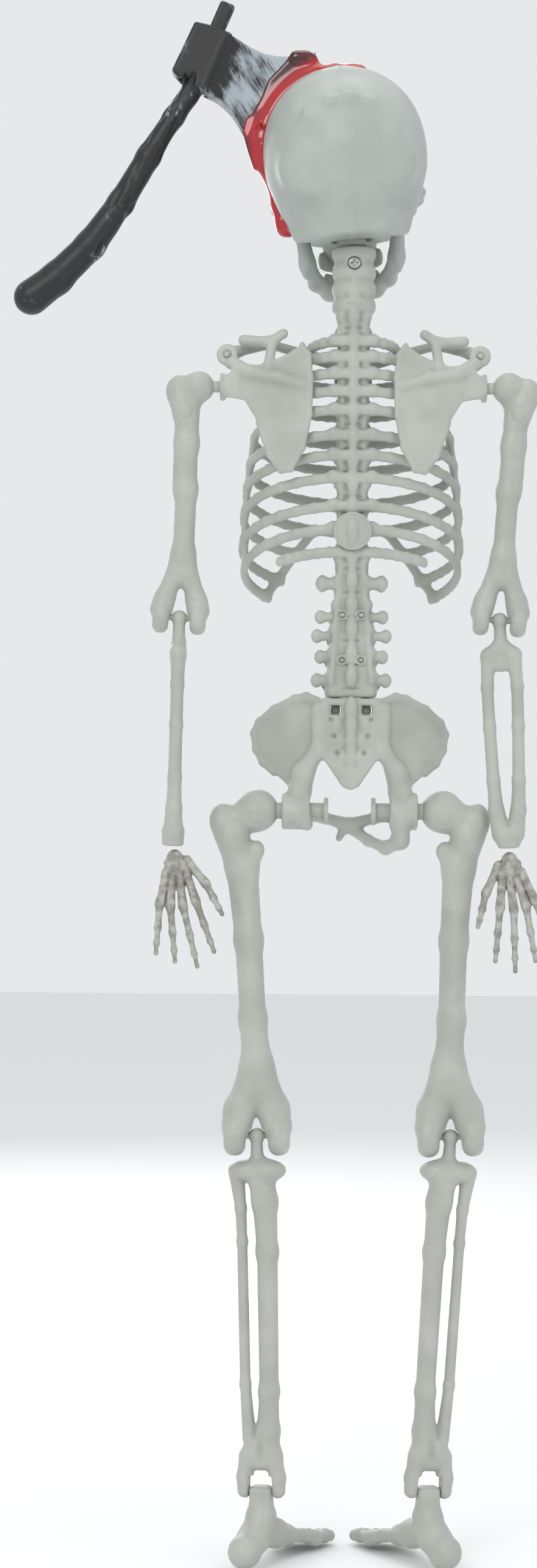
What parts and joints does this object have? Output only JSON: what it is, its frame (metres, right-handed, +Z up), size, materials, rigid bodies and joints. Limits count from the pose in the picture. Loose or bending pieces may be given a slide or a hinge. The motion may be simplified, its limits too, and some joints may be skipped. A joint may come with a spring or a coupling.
{
  "type": "halloween skeleton figure",
  "caption": "Hanging posable plastic skeleton with a blood-splashed toy axe stuck in its skull, turning neck, opening jaw and jointed arms, legs, hands and feet.",
  "frame": {"origin": "on the neck's turning axis, where the neck meets the shoulders", "axes": "+Z up along the neck, -Y the way the figure faces, +X its left side"},
  "size_m": [0.3292, 0.1323, 0.9393],
  "materials": {
    "bone_plastic": "satin",
    "skull_plastic": "satin",
    "hand_plastic": "satin, dark wash in the crevices",
    "axe_plastic": "satin, silver dry-brushed",
    "blood_resin": "gloss",
    "screw_steel": "worn"
  },
  "bodies": {
    "torso": {"spine_back": "bone_plastic", "spine_front": "bone_plastic", "neck_screw": "screw_steel", "chest_front": "bone_plastic", "tie_button": "bone_plastic", "shoulder_blade_left": "bone_plastic", "shoulder_blade_right": "bone_plastic", "hip_bone": "bone_plastic"},
    "head": {"skull_left": "skull_plastic", "skull_right": "skull_plastic", "neck_post": "bone_plastic", "axe": "axe_plastic", "blood_splash": "blood_resin"},
    "jaw": {"jaw": "skull_plastic"},
    "upper_arm_left": {"shoulder_peg_left": "bone_plastic", "upper_arm_back_left": "bone_plastic", "upper_arm_front_left": "bone_plastic"},
    "forearm_left_body": {"forearm_left": "bone_plastic"},
    "hand_left_body": {"hand_left": "hand_plastic"},
    "thigh_left": {"hip_peg_left": "bone_plastic", "thigh_back_left": "bone_plastic", "thigh_front_left": "bone_plastic"},
    "shin_left": {"shin_back_left": "bone_plastic", "shin_front_left": "bone_plastic"},
    "foot_left_body": {"foot_left": "bone_plastic"},
    "upper_arm_right": {"shoulder_peg_right": "bone_plastic", "upper_arm_back_right": "bone_plastic", "upper_arm_front_right": "bone_plastic"},
    "forearm_right_body": {"forearm_right": "bone_plastic"},
    "hand_right_body": {"hand_right": "hand_plastic"},
    "thigh_right": {"hip_peg_right": "bone_plastic", "thigh_back_right": "bone_plastic", "thigh_front_right": "bone_plastic"},
    "shin_right": {"shin_back_right": "bone_plastic", "shin_front_right": "bone_plastic"},
    "foot_right_body": {"foot_right": "bone_plastic"}
  },
  "joints": [
    {"name": "neck_turn", "type": "hinge", "parent": "torso", "child": "head", "pos_m": [0, 0, 0], "axis": [0, 0, 1], "range_deg": [-80, 80]},
    {"name": "jaw_open", "type": "hinge", "parent": "head", "child": "jaw", "pos_m": [0.00384, -0.012, 0.06884], "axis": [0.9963, 0, -0.0854], "range_deg": [0, 25]},
    {"name": "shoulder_left", "type": "hinge", "parent": "torso", "child": "upper_arm_left", "pos_m": [0.096, 0.006, -0.045], "axis": [-1, 0, 0], "range_deg": [-60, 150]},
    {"name": "elbow_left", "type": "hinge", "parent": "upper_arm_left", "child": "forearm_left_body", "pos_m": [0.10328, 0.006, -0.18381], "axis": [-0.9986, 0, -0.0523], "range_deg": [0, 95]},
    {"name": "wrist_left", "type": "hinge", "parent": "forearm_left_body", "child": "hand_left_body", "pos_m": [0.10616, 0.006, -0.32178], "axis": [0.0209, 0, -0.9998], "range_deg": [-90, 90]},
    {"name": "hip_left", "type": "hinge", "parent": "torso", "child": "thigh_left", "pos_m": [0.0558, -0.006, -0.299], "axis": [-1, 0, 0], "range_deg": [-30, 95]},
    {"name": "knee_left", "type": "hinge", "parent": "thigh_left", "child": "shin_left", "pos_m": [0.05443, -0.006, -0.495], "axis": [1, 0, -0.007], "range_deg": [0, 95]},
    {"name": "ankle_left", "type": "hinge", "parent": "shin_left", "child": "foot_left_body", "pos_m": [0.04995, -0.006, -0.70895], "axis": [-0.9781, 0.2079, 0], "range_deg": [-30, 20]},
    {"name": "shoulder_right", "type": "hinge", "parent": "torso", "child": "upper_arm_right", "pos_m": [-0.096, 0.006, -0.045], "axis": [-1, 0, 0], "range_deg": [-60, 150]},
    {"name": "elbow_right", "type": "hinge", "parent": "upper_arm_right", "child": "forearm_right_body", "pos_m": [-0.08872, 0.006, -0.18381], "axis": [-0.9986, 0, -0.0523], "range_deg": [0, 95]},
    {"name": "wrist_right", "type": "hinge", "parent": "forearm_right_body", "child": "hand_right_body", "pos_m": [-0.09547, 0.006, -0.32165], "axis": [-0.0489, 0, -0.9988], "range_deg": [-90, 90]},
    {"name": "hip_right", "type": "hinge", "parent": "torso", "child": "thigh_right", "pos_m": [-0.0558, -0.006, -0.299], "axis": [-1, 0, 0], "range_deg": [-30, 95]},
    {"name": "knee_right", "type": "hinge", "parent": "thigh_right", "child": "shin_right", "pos_m": [-0.0623, -0.006, -0.49489], "axis": [0.9995, 0, -0.0332], "range_deg": [0, 95]},
    {"name": "ankle_right", "type": "hinge", "parent": "shin_right", "child": "foot_right_body", "pos_m": [-0.05035, -0.006, -0.70856], "axis": [-0.9781, -0.2079, 0], "range_deg": [-30, 20]}
  ]
}
